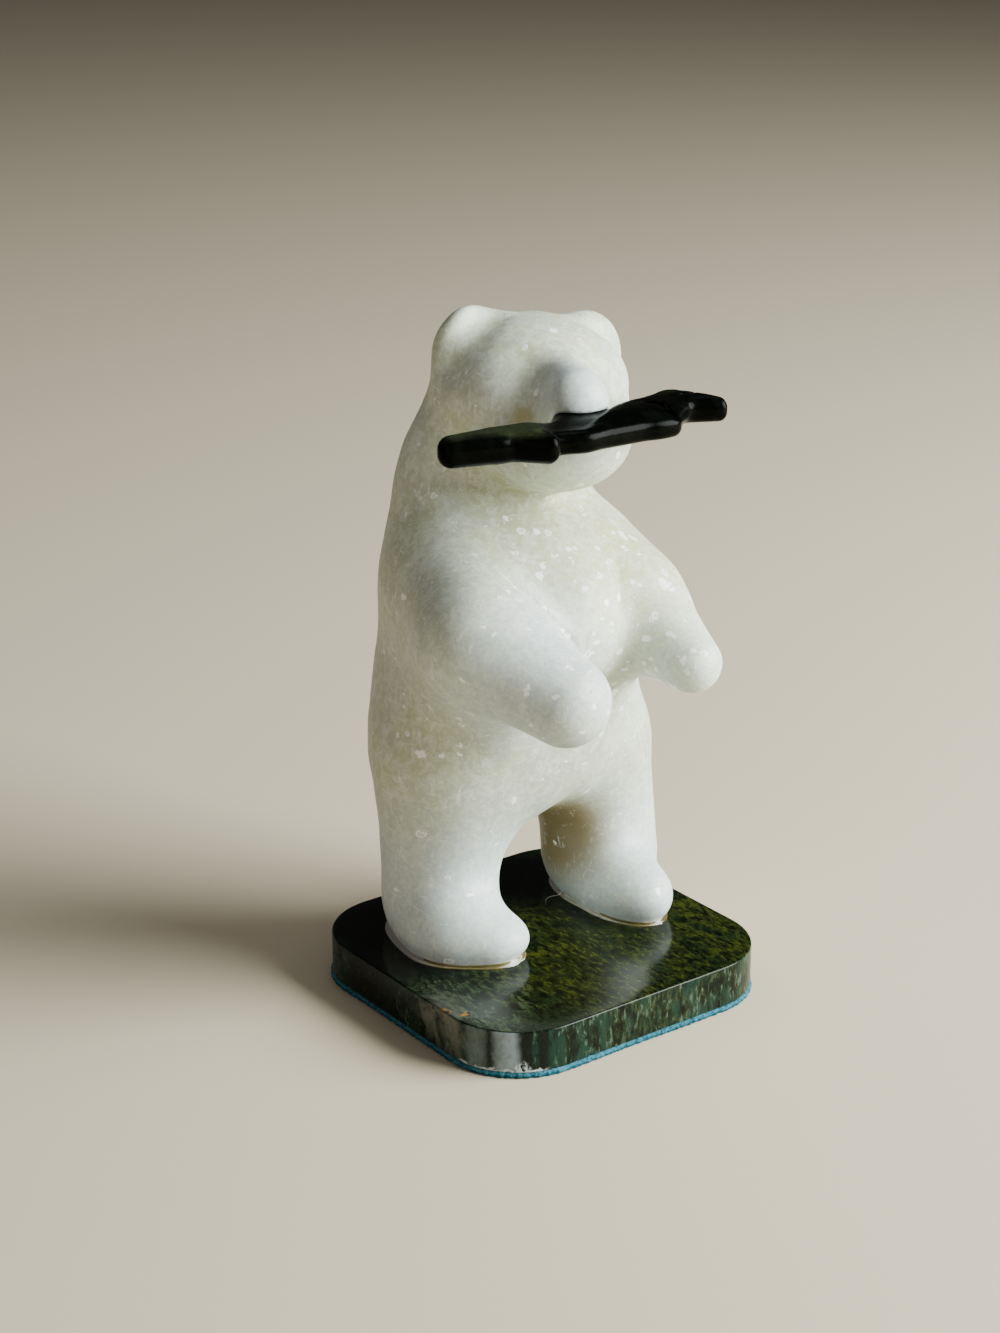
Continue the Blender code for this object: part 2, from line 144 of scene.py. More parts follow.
def net_over(distance, low, high, step):
    """Points at the mean of each pierced cube's crossings, and a square round each pierced edge."""
    counts = [int(np.ceil((b - a) / step / 4)) * 4 for a, b in zip(low, high)]
    axes = [a + step * np.arange(n) for a, n in zip(low, counts)]
    grid = np.stack(np.meshgrid(*axes, indexing="ij"), -1)
    value = sampled(distance, grid, step)
    inside = value < 0.0
    cubes = np.array(value.shape) - 1
    total, count, squares = np.zeros((cubes.prod(), 3)), np.zeros(cubes.prod()), []
    unit = np.eye(3, dtype=int)
    for axis in range(3):
        second, third = (axis + 1) % 3, (axis + 2) % 3
        ahead = np.roll(inside, -1, axis)
        at = np.argwhere(inside != ahead)
        at = at[at[:, axis] < cubes[axis]]
        here, there = value[tuple(at.T)], value[tuple((at + unit[axis]).T)]
        cross = grid[tuple(at.T)] + (here / (here - there))[:, None] * unit[axis] * step
        ring = [at - unit[second] - unit[third], at - unit[third], at, at - unit[second]]
        ring = np.stack([np.ravel_multi_index(tuple(r.T), cubes) for r in ring], -1)
        for corner in ring.T:
            total += np.stack([np.bincount(corner, cross[:, a], len(count)) for a in range(3)], -1)
            count += np.bincount(corner, minlength=len(count))
        squares.append(np.where((here < 0.0)[:, None], ring, ring[:, ::-1]))
    used = np.flatnonzero(count)
    number = np.zeros(len(count), int)
    number[used] = np.arange(len(used))
    return total[used] / count[used, None], number[np.concatenate(squares)]


def mesh_piece(name, points, faces):
    """A smooth-shaded mesh object from whole arrays, with its place in its mesh."""
    data = bpy.data.meshes.new(name)
    data.from_pydata(points, [], faces)
    data.shade_smooth()
    data.update()
    piece = bpy.data.objects.new(name, data)
    bpy.context.scene.collection.objects.link(piece)
    print(f"{name}: {len(points)} points, {len(faces)} faces")
    return piece


def stone_piece(name, distance, low, high, step, to_world):
    """Nets a distance, settles the points on it and carries them into the part's frame."""
    points, faces = net_over(distance, low, high, step)
    points = settle(distance, points)
    print(name, "lies within", np.abs(distance(points)).max().round(4), "mm of its surface")
    return mesh_piece(name, to_world(points), faces)


# %% [markdown]
# ## The bear
#
# First its masses, from the trunk outwards. The legs join each other with almost no fillet, which
# leaves the crisp crotch, and the arms join the chest with a wide one.

# %% The bear's masses
BEAR_PLACE = np.array((4.5, 0.0, plinth_high[2] / MM))
SOLE = 0.3
TRUNK = (((-1.5, 17.5, 53.5), (29.5, 27.5, 28.5)), ((-0.5, 19.5, 78.5), (25.5, 23.0, 19.5)))
NECK = ((0.0, 26.0, 100.0), (22.5, 13.5, 23.0))
BREAST = ((1.0, 0.5, 77.5), (17.5, 12.0, 15.5))
RIGHT_THIGH = ((-20.5, 13.5, 40.5), 15.0, (-20.0, 18.0, 8.0), 12.5)
RIGHT_FOOT = ((-23.0, 7.5, 4.0), (11.5, 13.0, 10.5))
RIGHT_TOE = ((-19.0, -2.5, 4.0), (7.5, 7.0, 5.0))
LEFT_THIGH = ((21.5, 14.0, 36.0), 12.5, (23.5, 14.0, 9.0), 13.5)
LEFT_FOOT = ((19.5, 1.0, 5.0), (9.0, 15.0, 8.5))
UPPER_ARMS = (
    ((-19.0, 14.5, 82.5), 11.5, (-25.5, -6.0, 76.0), 12.5),
    ((18.5, 12.5, 79.0), 11.5, (15.0, -5.5, 75.0), 11.5),
)
FOREARMS = (
    ((-26.0, -6.5, 76.0), 12.5, (-18.5, -26.0, 67.0), 9.5),
    ((15.0, -5.5, 75.0), 11.5, (15.5, -26.0, 68.0), 6.5),
)
STERNUM = ((-3.5, -5.0, 74.0), (12.0, 13.0, 13.0))
RIGHT_FLANK = ((-18.5, 2.0, 66.0), (13.0, 13.0, 13.0))
HEAD_CENTRE, HEAD_TURN = (2.5, 11.0, 118.0), -16.0
SKULL = ((0.0, 4.0, 4.0), (21.0, 20.0, 15.5))
JAW = ((1.0, -7.5, -4.0), (16.0, 17.0, 11.5))
MUZZLE = ((0.8, -7.0, 5.2), 8.6, (0.2, -15.5, 5.9), 8.0)
NOSE = ((0.0, -14.0, 4.5), 7.0, (-0.5, -22.5, 7.1), 6.7)
EARS = (((-11.2, 7.0, 11.0), (10.0, 6.8, 10.9)), ((15.1, 11.0, 7.7), (8.5, 5.0, 9.8)))
EAR_GROOVES = (
    ((-8.0, 4.6, 22.6), (-16.6, 0.2, 18.0), (-21.8, 0.6, 12.0), (-26.6, 2.2, 6.0)),
    ((6.0, 8.0, 23.8), (15.0, 3.4, 19.6), (23.6, 4.0, 8.5)),
)
EYE_HOLLOWS = (((-10.4, -15.8, 15.0), (-13.0, -19.0, 7.8)), ((11.4, -14.8, 14.8), (14.2, -18.0, 8.0)))


def groove_along(p, path, radius, reach):
    """Limbs of one radius from each point of the path to the next, softly joined."""
    found = limb(p, path[0], radius, path[1], radius)
    for start, end in zip(path[1:], path[2:]):
        found = join(found, limb(p, start, radius, end, radius), reach)
    return found


def head_of(p):
    """Skull, jaw, muzzle and ears in the head's own turned frame, less a groove before each ear."""
    q = (p - np.array(HEAD_CENTRE)) @ turned(HEAD_TURN)
    head = join(lump(q, *SKULL), lump(q, *JAW), 9.0)
    head = join(head, limb(q, *MUZZLE), 5.0)
    head = join(head, limb(q, *NOSE), 4.0)
    for ear in EARS:
        head = join(head, lump(q, *ear), 5.0)
    for path in EAR_GROOVES:
        head = carve(head, groove_along(q, path, 3.8, 3.8), 4.0)
    for path in EYE_HOLLOWS:
        head = carve(head, groove_along(q, path, 4.9, 5.2), 8.0)
    return head


def legs_of(p):
    """Both legs with their feet."""
    foot = join(lump(p, *RIGHT_FOOT), lump(p, *RIGHT_TOE), 7.0)
    right = join(limb(p, *RIGHT_THIGH), foot, 10.0)
    left = join(limb(p, *LEFT_THIGH), lump(p, *LEFT_FOOT), 10.0)
    return join(right, left, 1.5)


def bear_form(p):
    """The bear as the solid has it, from the trunk outwards."""
    form = join(lump(p, *TRUNK[0]), lump(p, *TRUNK[1]), 24.0)
    form = join(form, lump(p, *NECK), 22.0)
    form = join(form, lump(p, *BREAST), 18.0)
    form = join(form, legs_of(p), 22.0)
    form = join(form, head_of(p), 12.0)
    for arm in UPPER_ARMS:
        form = join(form, limb(p, *arm), 17.0)
    form = join(form, lump(p, *RIGHT_FLANK), 16.0)
    for arm in FOREARMS:
        form = join(form, limb(p, *arm), 8.0)
    return join(form, lump(p, *STERNUM), 8.0)


# %% [markdown]
# Then the tool's own marks. A crisp line is cut where the right arm meets the chest, a shallow
# one runs down the breast, and hand grinding leaves the surface a little uneven, which a few
# long waves in odd directions give.

# %% The marks of the tool
ARM_CUT = (
    (-19.8, -6.6, 90.8),
    (-18.7, -10.6, 88.2),
    (-15.8, -14.2, 84.0),
    (-12.6, -16.9, 79.5),
    (-9.6, -18.4, 75.0),
    (-8.6, -18.8, 70.0),
)
BREAST_CUT = ((8.1, -9.9, 91.0), (5.2, -14.9, 85.0), (3.5, -17.1, 80.5))
EAR_CUT = ((15.1, 4.2, 132.5), (15.4, 0.2, 128.8), (18.2, 0.0, 124.6), (20.2, 1.0, 120.5))
wave_seed = np.random.default_rng(7)
WAVE_WAYS = wave_seed.normal(size=(14, 3)) * wave_seed.uniform(0.12, 0.34, (14, 1))
WAVE_PHASES = wave_seed.uniform(0.0, 2.0 * np.pi, 14)


def hand_waves(p, height):
    """A mean of sines along random directions, with wavelengths from about 12 to 40 mm."""
    return height * np.sin(p @ WAVE_WAYS.T + WAVE_PHASES).mean(-1)


def bear_stone(p):
    """The form with its waves and cuts, ground flat under the feet."""
    stone = bear_form(p) + hand_waves(p, 0.35)
    stone = carve(stone, groove_along(p, ARM_CUT, 1.0, 0.6), 0.7)
    stone = carve(stone, groove_along(p, BREAST_CUT, 0.9, 0.6), 1.6)
    stone = carve(stone, groove_along(p, EAR_CUT, 0.7, 0.6), 0.9)
    return -join(-stone, p[..., 2] - SOLE, 0.5)


# %% [markdown]
# ## The fish
#
# A sawn slab with its outline rounded over. Seen from above the outline is again limbs, now flat
# ones, and the slab is that outline with a rounded rim: inside the rim the distance is the
# greater of the outline's and the thickness's, and outside it is the corner's radius.

# %% The fish's outline and slab
FISH_PLACE, FISH_TURN = np.array((-4.5, -19.2, 132.4)), -3.5
SNOUT, GILL, MIDDLE = (-30.5, 1.9, 2.9), (-21.0, 1.0, 4.3), (-2.7, -1.1, 5.3)
HUMP, TAIL_ROOT, NEAR_LOBE = (3.0, 6.5, 5.0), (16.0, 0.2, 6.3), (18.6, -4.4, 1.9)
FAR_LOBE, FAR_TIP = (26.4, 5.3, 4.3), (34.0, -0.9, 1.5)
FIN_ROOT, FIN_TIP = (-17.9, -2.3, 1.8), (-13.0, -6.9, 2.0)
BELLY, THROAT, HEAD_TOP, BODY_TOP, LOBE_TOP = -3.1, -3.5, 3.1, 1.9, 1.3
RUNS = (
    (GILL, MIDDLE, 1.2),
    (MIDDLE, TAIL_ROOT, 1.2),
    (MIDDLE, HUMP, 2.6),
    (TAIL_ROOT, NEAR_LOBE, 2.6),
    (TAIL_ROOT, FAR_LOBE, 2.6),
    (FAR_LOBE, FAR_TIP, 2.6),
    (FIN_ROOT, FIN_TIP, 1.2),
)


def rise(values, low, high):
    """Nothing below low, one above high, and a smooth S between."""
    share = np.clip((values - low) / (high - low), 0.0, 1.0)
    return share * share * (3.0 - 2.0 * share)


def flat_limb(p, start, end):
    """A limb in the plane of the slab."""
    flat = p * np.array((1.0, 1.0, 0.0))
    return limb(flat, (*start[:2], 0.0), start[2], (*end[:2], 0.0), end[2])


def fish_top(p):
    """The height of the upper side: full at the head, ground thinner where the mouth holds it,
    stepping up again over the back and sloping down across the tail."""
    along, across = p[..., 0], p[..., 1]
    eased = -10.3 + 5.0 * rise(across, -4.0, 2.0)
    head = (HEAD_TOP - BODY_TOP) * (1.0 - rise(along + 0.15 * across, -13.3, eased))
    back = rise(across, -5.0, 5.0)
    lobes = rise(along, 12.0, 28.0) * (1.0 - back) * (LOBE_TOP - BODY_TOP)
    step = rise((along - 4.1 - 1.54 * across) / 1.84, -0.6, 0.6) * rise(across, -6.5, 2.5)
    held = 0.6 * rise(along, -9.0, -1.0) * rise(across, -4.0, 0.0) * (1.0 - step)
    return BODY_TOP + head + held + step * (HEAD_TOP - BODY_TOP) + lobes


def slab_of(p):
    """The slab: the outline's distance and the height beyond the slab, met round a rim."""
    outline = flat_limb(p, SNOUT, GILL)
    for start, end, reach in RUNS:
        outline = join(outline, flat_limb(p, start, end), reach)
    top = fish_top(p)
    half = (top - THROAT - (BELLY - THROAT) * rise(p[..., 0], -14.0, -8.0)) / 2.0
    rim = 0.85 * half
    out, up = outline + rim, np.abs(p[..., 2] - top + half) - half + rim
    outside = np.hypot(np.maximum(out, 0.0), np.maximum(up, 0.0))
    return outside + np.minimum(np.maximum(out, up), 0.0) - rim


TAIL_RAYS = (
    ((23.4, 5.2, 3.3), (25.6, 6.6, 3.2), (28.9, 6.5, 2.9), (31.0, 5.2, 2.4)),
    ((24.4, 3.6, 3.1), (28.0, 4.2, 2.9), (33.0, 2.7, 2.2)),
)
NOTCH = ((17.5, 2.6, 3.0), (19.3, 0.4, 2.3), (19.2, -3.0, 2.0), (18.8, -7.5, 1.5))


def fish_stone(p):
    """The slab with two rays cut in its tail and the notch between its lobes."""
    fish = slab_of(p)
    fish = carve(fish, groove_along(p, NOTCH, 0.75, 0.7), 0.8)
    for ray in TAIL_RAYS:
        fish = carve(fish, groove_along(p, ray, 0.45, 0.4), 0.5)
    return fish


def fish_to_world(p):
    return (p @ turned(FISH_TURN).T + FISH_PLACE) * MM


def world_to_fish(p):
    return (p - FISH_PLACE) @ turned(FISH_TURN)


fish = stone_piece("fish_carved", fish_stone, (-35, -11, -4.5), (37.5, 13, 4.5), 0.4, fish_to_world)


# %% Where the fish's upper side is paler
def points_of(piece):
    """A piece's points in millimetres."""
    points = np.empty(len(piece.data.vertices) * 3, np.float32)
    piece.data.vertices.foreach_get("co", points)
    return points.reshape(-1, 3).astype(float) / MM


def keep_on_points(piece, name, values):
    """Stores one number for each point of the mesh."""
    layer = piece.data.attributes.new(name, "FLOAT", "POINT")
    layer.data.foreach_set("value", np.asarray(values, np.float32))
    print(name, "runs from", values.min().round(2), "to", values.max().round(2))


fish_points = world_to_fish(points_of(fish))
along, across, above = fish_points.T
head_edge = np.interp(along, (-31.8, -25.3, -21.6, -16.6, -14.6), (0.5, -0.3, -1.8, -5.0, -7.3))
head_pale = rise(across - head_edge, -0.8, 1.2) * (1.0 - rise(along - 0.3 * across, -12.5, -10.0))
tail_pale = rise(across, 4.5, 8.0) * rise(along, 4.0, 9.0) * (1.0 - rise(along, 24.0, 30.0)) * 0.5
keep_on_points(fish, "pale_band", (head_pale + tail_pale) * rise(above, 0.6, 2.6))


# %% Carve the bear and slot its mouth
def slotted_bear(p):
    """The bear less the fish's slab with a hair of room round it."""
    slot = slab_of(world_to_fish(p + BEAR_PLACE)) - 0.12
    return carve(bear_stone(p), slot, 0.5)


bear = stone_piece(
    "bear_carved", slotted_bear, (-40, -38, -1.5), (37, 48, 142), 0.7, lambda p: (p + BEAR_PLACE) * MM
)

# %% [markdown]
# Light goes some way into marble, so hollows and thin places look warm, and hollows get less light.
# That warm darkening of the hollows is painted shade in the marble's colour. How deep in a hollow
# each point lies is measured on the mesh: step out along the surface's own way and see how close the
# stone still is. The number is kept on the points, where the finish paints the shade from it.

# %% How sheltered each point of the bear is
bear_points = points_of(bear) - BEAR_PLACE
bear_normals = np.empty(len(bear.data.vertices) * 3, np.float32)
bear.data.vertices.foreach_get("normal", bear_normals)
bear_normals = bear_normals.reshape(-1, 3)
shelter = sum(1.0 - bear_form(bear_points + bear_normals * r) / r for r in (3.0, 7.0, 14.0)) / 3.0
keep_on_points(bear, "shelter", np.clip(shelter, 0.0, 1.0))

# %% [markdown]
# ## The plinth
#
# A slab sawn from stone tile, its corners rounded on a wheel and its edges just broken. It is a
# profile carried along a path: the path is the rounded outline, evenly spaced by length, and the
# profile steps in from it and down the side. Along the bottom edge at the front the stone is
# chipped. A chip is a ball that pushes the surface away from its middle.


# %% A rounded outline, and rings joined into a closed piece
def rounded_outline(width, depth, radius, count):
    """Points evenly spaced round a rectangle with round corners, and the way out at each: the
    way out turns only along the corners, so both follow from the length gone so far."""
    straight = np.array((width, depth, width, depth)) - 2.0 * radius
    arc = radius * np.pi / 2.0
    knots = np.concatenate(([0.0], np.cumsum(np.stack((straight, np.full(4, arc)), -1).ravel())))
    gone = np.arange(count) / count * knots[-1]
    turn = np.interp(gone, knots, np.repeat(np.arange(5), 2)[:-1] * np.pi / 2.0) - np.pi / 2.0
    out = np.stack((np.cos(turn), np.sin(turn)), -1)
    along = np.stack((-out[:, 1], out[:, 0]), -1)
    run = along * (knots[-1] / count)
    path = np.cumsum(run, 0)
    path -= (path.max(0) + path.min(0)) / 2.0
    return path, out


def ringed_piece(name, rings, capped=True):
    """Squares between each ring and the next, and a fan at each end, or round to the first ring."""
    rings = np.asarray(rings)
    m, n = rings.shape[:2]
    row, column = np.meshgrid(np.arange(m if not capped else m - 1), np.arange(n), indexing="ij")
    below, after = (row + 1) % m, (column + 1) % n
    squares = np.stack((row * n + column, row * n + after, below * n + after, below * n + column), -1)
    faces = squares.reshape(-1, 4)[:, ::-1].tolist()
    points = rings.reshape(-1, 3)
    if capped:
        top, bottom = rings[0].mean(0), rings[-1].mean(0)
        points = np.concatenate((points, [top, bottom]))
        first, last = np.arange(n), (m - 1) * n + np.arange(n)
        faces += np.stack((first, np.roll(first, -1), np.full(n, m * n)), -1).tolist()
        faces += np.stack((np.roll(last, -1), last, np.full(n, m * n + 1)), -1).tolist()
    return mesh_piece(name, points, faces)


# %% The plinth, chipped along its lower front edge
plinth_size = plinth_high - plinth_low
CORNER, EDGE = 17.3 * MM, 0.45 * MM
ROUND = 760
path, out = rounded_outline(*plinth_size[:2], CORNER, ROUND)
height = plinth_size[2]
quarter = np.linspace(0.0, np.pi / 2.0, 6)
rim = np.stack((EDGE * (1.0 - np.sin(quarter)), EDGE * (1.0 - np.cos(quarter))), -1)
side = np.stack((np.zeros(26), EDGE + (height - 1.5 * EDGE) * np.linspace(0.04, 0.97, 26) ** 0.8), -1)
profile = np.concatenate((rim, side, (rim * (0.35, -0.35) + (0, height))[::-1]))
middle = (plinth_high + plinth_low)[:2] / 2.0
rings = [
    np.column_stack((middle + path - out * inset, np.full(ROUND, plinth_high[2] - drop)))
    for inset, drop in profile
]
shrink = (0.9, 0.6, 0.25)
top_rings = [np.append(rings[0][:, :2] * k, rings[0][:, 2:], 1) for k in shrink[::-1]]
bottom_rings = [np.append(rings[-1][:, :2] * k, rings[-1][:, 2:], 1) for k in shrink]
plinth_rings = np.array([*top_rings, *rings, *bottom_rings])

chips = np.random.default_rng(11)
CHIPS = 26
where = chips.normal(0.955 * ROUND, 0.05 * ROUND, CHIPS).astype(int) % ROUND
ball = chips.uniform(0.4, 1.1, CHIPS) * MM
lift = ball * chips.uniform(0.6, 0.9, CHIPS)
bitten = middle + path[where] + out[where] * lift[:, None]
for centre, radius in zip(np.column_stack((bitten, plinth_low[2] - lift * 0.4)), ball):
    gap = plinth_rings - centre
    far = np.linalg.norm(gap, axis=-1, keepdims=True)
    plinth_rings = np.where(far < radius, centre + gap * radius / np.maximum(far, 1e-9), plinth_rings)
plinth_rings = np.clip(plinth_rings, plinth_low, plinth_high)
plinth = ringed_piece("plinth_stone", plinth_rings)

# %% [markdown]
# ## The felt
#
# Felt has no weave: it is matted wool, cut with scissors a little uneven, so its edge wanders and
# sheds a few fibres. The sheet is the same outline carried round a small rounded profile, and each
# fibre is a thin tube, which is a ring of points carried along a curl.


# %% The felt pad
def wander(count, seed, waves, height):
    """A closed wavy line: sines with whole numbers of waves round the outline."""
    draw = np.random.default_rng(seed)
    number = draw.integers(*waves, 24)
    turn = np.arange(count)[:, None] / count * 2.0 * np.pi
    return height * np.sin(turn * number + draw.uniform(0.0, 2.0 * np.pi, 24)).mean(-1)


FELT_TOP = plinth_low[2] - 0.02 * MM
FELT_ROUND = 620
felt_path, felt_out = rounded_outline(*plinth_size[:2], CORNER, FELT_ROUND)
uneven = wander(FELT_ROUND, 3, (3, 12), 0.8 * MM) + wander(FELT_ROUND, 4, (60, 260), 0.7 * MM)
felt_profile = ((0.4, 1.0), (0.05, 0.93), (-0.15, 0.7), (-0.25, 0.45), (-0.2, 0.15), (0.1, 0.0))
felt_rings = [
    np.column_stack((middle + felt_path - felt_out * inward, np.full(FELT_ROUND, FELT_TOP * share)))
    for inward, share in ((inset * MM + uneven[:, None], share) for inset, share in felt_profile)
]
felt_rings[2][:, 2] += wander(FELT_ROUND, 5, (40, 160), 0.7 * MM)
felt_rings[3][:, 2] += wander(FELT_ROUND, 6, (40, 160), 0.7 * MM)
felt = ringed_piece("felt_sheet", felt_rings)


# %% Loose fibres
def tubes(name, lines, radius, sides=4):
    """A ring of points round every point of every line, tapering to nothing at both ends."""
    count, length = lines.shape[:2]
    ahead = np.gradient(lines, axis=1)
    ahead /= np.linalg.norm(ahead, axis=-1, keepdims=True)
    across = np.cross(ahead, (0.31, 0.17, 0.93))
    across /= np.linalg.norm(across, axis=-1, keepdims=True)
    over = np.cross(ahead, across)
    angle = np.arange(sides) / sides * 2.0 * np.pi
    taper = radius * np.sin(np.linspace(0.12, np.pi - 0.12, length))[None, :, None, None]
    ring = across[:, :, None] * np.cos(angle)[:, None] + over[:, :, None] * np.sin(angle)[:, None]
    points = (lines[:, :, None] + ring * taper).reshape(-1, 3)
    base = np.arange(count)[:, None, None] * length * sides
    row, column = np.arange(length - 1)[:, None] * sides, np.arange(sides)
    after = (column + 1) % sides
    squares = np.stack((row + column, row + after, row + sides + after, row + sides + column), -1)
    faces = (base[..., None] + squares[None]).reshape(-1, 4)
    ends = np.stack((column[::-1], (length - 1) * sides + column))
    caps = (base + ends[None]).reshape(-1, sides)
    return mesh_piece(name, points, faces.tolist() + caps.tolist())


fluff = np.random.default_rng(21)
FIBRES = 420
root = fluff.integers(0, FELT_ROUND, FIBRES)
edge = middle + felt_path[root] + felt_out[root] * 0.05 * MM
start = np.column_stack((edge, fluff.uniform(0.1, 1.2, FIBRES) * MM))
heading = np.column_stack((felt_out[root], fluff.uniform(-0.5, 0.3, FIBRES)))
side_way = np.column_stack((-felt_out[root, 1], felt_out[root, 0], np.zeros(FIBRES)))
t = np.linspace(0.0, 1.0, 7)[None, :, None]
bow = fluff.normal(0.0, 0.8, (FIBRES, 1, 1)) * MM
reach = fluff.uniform(0.1, 0.5, (FIBRES, 1, 1)) * MM
lines = start[:, None] + heading[:, None] * reach * np.sin(t * 2.2) + side_way[:, None] * bow * t
lines[..., 2] = np.clip(lines[..., 2], 0.03 * MM, 1.3 * MM)
felt_fluff = tubes("felt_fibres", lines, 0.018 * MM)

# %% [markdown]
# ## The glue
#
# The feet were glued with clear resin that squeezed out and set as an amber bead. The bead needs
# the very line where the foot leaves the plinth: at each angle round the foot, halving an interval
# finds where the bear's distance is nothing at that height. The bead's profile leans on the marble
# and dies away on the stone.


# %% Beads of resin round the feet
def outline_of_foot(centre, height, angles, far=26.0):
    """Halving: the share of each ray that is in the stone, closed in on from both sides."""
    way = np.stack((np.cos(angles), np.sin(angles), np.zeros(len(angles))), -1)
    low, high = np.zeros(len(angles)), np.full(len(angles), far)
    for _ in range(24):
        half = (low + high) / 2.0
        inside = bear_stone(np.array((*centre, height)) + way * half[:, None]) < 0.0
        low, high = np.where(inside, half, low), np.where(inside, high, half)
    return np.array((*centre, 0.0)) + way * low[:, None], way


def bead(name, centre, size, seed):
    """A soft hollow triangle carried round the foot, closed through the gap under the sole."""
    angles = np.arange(220) / 220 * 2.0 * np.pi
    foot, way = outline_of_foot(centre, 0.7, angles)
    swell = (size * (1.0 + wander(220, seed, (1, 7), 0.9)))[:, None]
    under = ((-0.9, 0.05), (-0.9, 0.7), (-0.3, 0.75), (0.0, 0.6))
    profile = np.array((*under, (0.3, 0.34), (0.7, 0.15), (1.15, 0.04), (1.2, -0.02)))
    rings = []
    for step, height_up in profile:
        ring = foot + way * np.where(step > 0, swell * step, step)
        ring[:, 2] = (height_up * swell).ravel() if height_up > 0.1 else height_up
        rings.append((ring + BEAR_PLACE) * MM)
    return ringed_piece(name, rings[::-1], capped=False)


glue_right = bead("glue_right_foot", (-21.5, 9.0), 1.0, 31)
glue_left = bead("glue_left_foot", (21.5, 7.0), 0.9, 32)


# %% A stray hair on the plinth
def smooth_line(knots, count):
    """A cubic through the knots: Lagrange's weights, each the product of the other gaps."""
    spots = np.linspace(0.0, 1.0, len(knots))
    t = np.linspace(0.0, 1.0, count)
    line = np.zeros((count, 3))
    for k, knot in enumerate(np.array(knots)):
        others = np.delete(spots, k)
        line += np.prod((t[:, None] - others) / (spots[k] - others), -1)[:, None] * knot
    return line


HAIR = ((9.4, 10.4, 11.2), (11.6, 11.6, 12.1), (14.2, 11.6, 11.9), (15.2, 12.2, 13.0))
hair = tubes("white_hair", smooth_line(HAIR, 24)[None] * MM, 0.05 * MM)

# %% [markdown]
# ## Finishes
#
# Shader sums are easier to read as sums. A Wire is a socket that can be added and multiplied, and
# a Finish makes every other node through one method.


# %% Wires and finishes
class Wire:
    """A number leaving a socket. Arithmetic on it adds a Math node and gives the next Wire."""

    def __init__(self, finish, socket):
        self.finish, self.socket = finish, socket

    def sum(self, operation, first, second):
        """One Math node on two numbers or wires."""
        return self.finish.node("ShaderNodeMath", {"operation": operation}, {0: first, 1: second})

    def __add__(self, other):
        return self.sum("ADD", self, other)

    def __sub__(self, other):
        return self.sum("SUBTRACT", self, other)

    def __rsub__(self, other):
        return self.sum("SUBTRACT", other, self)

    def __mul__(self, other):
        return self.sum("MULTIPLY", self, other)

    def __gt__(self, other):
        return self.sum("GREATER_THAN", self, other)

    def __or__(self, other):
        return self.sum("MAXIMUM", self, other)

    __radd__, __rmul__ = __add__, __mul__

    def step(self, low, high, kind="SMOOTHSTEP"):
        """Nothing below low, one above high, and a rise between: smooth, or straight for LINEAR."""
        limits = {"Value": self, "From Min": low, "From Max": high}
        return self.finish.node("ShaderNodeMapRange", {"interpolation_type": kind}, limits)


class Finish:
    """A Principled material whose nodes are all made by node()."""

    def __init__(self, name, **constants):
        self.material = bpy.data.materials.new(name)
        self.material.use_nodes = True
        self.tree = self.material.node_tree
        self.shader = self.tree.nodes["Principled BSDF"]
        for socket, value in constants.items():
            self.shader.inputs[socket.replace("_", " ")].default_value = value
        self.place = self.node("ShaderNodeTexCoord", {}, {}, "Object")

    def node(self, kind, settings, values, out=0):
        """A node of a kind: its settings first, then a value or a wire for each named socket."""
        made = self.tree.nodes.new(kind)
        for key, value in settings.items():
            setattr(made, key, value)
        for key, value in values.items():
            if isinstance(value, Wire):
                self.tree.links.new(value.socket, made.inputs[key])
            else:
                made.inputs[key].default_value = value
        return Wire(self, made.outputs[out])

    def noise(self, scale, detail=3.0, place=None, rough=0.55, warp=0.0, out=0):
        """Noise with so many waves in a metre."""
        values = {"Vector": place or self.place, "Scale": scale, "Detail": detail}
        return self.node("ShaderNodeTexNoise", {}, {**values, "Roughness": rough, "Distortion": warp}, out)

    def moved(self, turn, stretch):
        """The place turned and stretched, so that a noise read from it runs one way."""
        values = {"Vector": self.place, "Rotation": turn, "Scale": stretch}
        return self.node("ShaderNodeMapping", {}, values)

    def warped(self, scale, amount):
        """Places pushed about by a noise, so that a shape read from them has a ragged edge."""
        push = self.vector("SUBTRACT", {0: self.noise(scale, 3.0, out="Color"), 1: (0.5, 0.5, 0.5)})
        push = self.vector("SCALE", {0: push, "Scale": amount * 2.0})
        return self.vector("ADD", {0: self.place, 1: push})

    def vector(self, operation, values, out="Vector"):
        """One Vector Math node; a distance or a dot product leaves by its Value."""
        return self.node("ShaderNodeVectorMath", {"operation": operation}, values, out)

    def mix(self, share, a, b):
        """Colour a where the share is nothing and b where it is one."""
        a, b = (c if isinstance(c, Wire) else (*c, 1.0) for c in (a, b))
        return self.node("ShaderNodeMix", {"data_type": "RGBA"}, {0: share, 6: a, 7: b}, 2)

    def stored(self, name):
        """A number kept on the mesh's points."""
        return self.node("ShaderNodeAttribute", {"attribute_name": name}, {}, "Fac")

    def feed(self, **wires):
        """Links what varies over the surface to the shader."""
        for socket, wire in wires.items():
            self.tree.links.new(wire.socket, self.shader.inputs[socket.replace("_", " ")])

    def bump(self, height, depth):
        """Relief too fine for the mesh, so many metres deep."""
        values = {"Height": height, "Distance": depth, "Strength": 1.0}
        self.feed(Normal=self.node("ShaderNodeBump", {}, values))

    def on(self, *pieces):
        """Puts the finish on pieces, and says how many nodes it took."""
        for piece in pieces:
            piece.data.materials.clear()
            piece.data.materials.append(self.material)
        print(self.material.name, "has", len(self.tree.nodes), "nodes")
